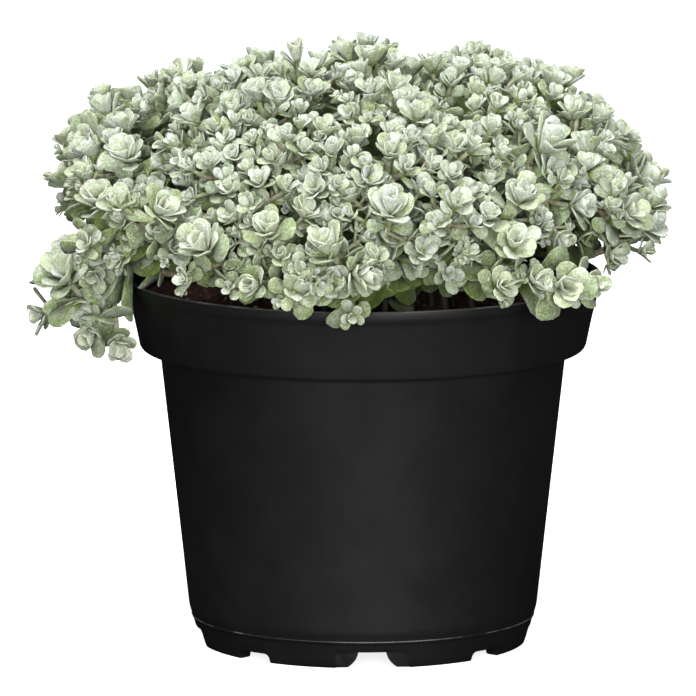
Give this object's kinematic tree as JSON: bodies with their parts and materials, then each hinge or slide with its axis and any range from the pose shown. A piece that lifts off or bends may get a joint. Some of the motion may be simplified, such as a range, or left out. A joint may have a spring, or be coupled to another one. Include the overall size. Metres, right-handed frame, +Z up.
{
  "type": "potted sedum",
  "caption": "Cushion of powdery silver-green stonecrop rosettes on branching stems, rooted in peat in a round tapered black nursery pot with a collar and notched foot.",
  "frame": {"origin": "the middle of the plant's outline seen from above, on the plane the pot stands on; the pot's own axis is 3.8 mm to +X of it", "axes": "+Z up out of the pot, -Y towards the front of the plant, +X to its right"},
  "size_m": [0.1755, 0.1642, 0.1677],
  "materials": {
    "pot": "satin black moulded plastic",
    "peat": "moist dark peat with fibres",
    "shoot": "fleshy leaves with a powdery silver bloom"
  },
  "bodies": {
    "root": {"pot": "pot", "shoot_crown_1": "shoot", "shoot_crown_2": "shoot", "shoot_crown_3": "shoot", "shoot_high_1": "shoot", "shoot_high_2": "shoot", "shoot_high_3": "shoot", "shoot_high_4": "shoot", "shoot_high_5": "shoot", "shoot_high_6": "shoot", "shoot_high_7": "shoot", "shoot_lower_1": "shoot", "shoot_lower_10": "shoot", "shoot_lower_11": "shoot", "shoot_lower_12": "shoot", "shoot_lower_2": "shoot", "shoot_lower_3": "shoot", "shoot_lower_4": "shoot", "shoot_lower_5": "shoot", "shoot_lower_6": "shoot", "shoot_lower_7": "shoot", "shoot_lower_8": "shoot", "shoot_lower_9": "shoot", "shoot_middle_1": "shoot", "shoot_middle_10": "shoot", "shoot_middle_2": "shoot", "shoot_middle_3": "shoot", "shoot_middle_4": "shoot", "shoot_middle_5": "shoot", "shoot_middle_6": "shoot", "shoot_middle_7": "shoot", "shoot_middle_8": "shoot", "shoot_middle_9": "shoot", "shoot_rim_1": "shoot", "shoot_rim_2": "shoot", "shoot_rim_3": "shoot", "shoot_rim_4": "shoot", "shoot_rim_5": "shoot", "shoot_rim_6": "shoot", "shoot_shoulder_1": "shoot", "shoot_shoulder_2": "shoot", "shoot_shoulder_3": "shoot", "shoot_shoulder_4": "shoot", "shoot_shoulder_5": "shoot", "shoot_shoulder_6": "shoot", "shoot_shoulder_7": "shoot", "shoot_shoulder_8": "shoot", "shoot_trailing_front": "shoot", "shoot_trailing_left": "shoot", "shoot_trailing_right": "shoot", "shoot_upper_1": "shoot", "shoot_upper_2": "shoot", "shoot_upper_3": "shoot", "shoot_upper_4": "shoot", "shoot_upper_5": "shoot", "shoot_upper_6": "shoot", "shoot_upper_7": "shoot", "shoot_upper_8": "shoot", "soil": "peat"}
  },
  "joints": []
}
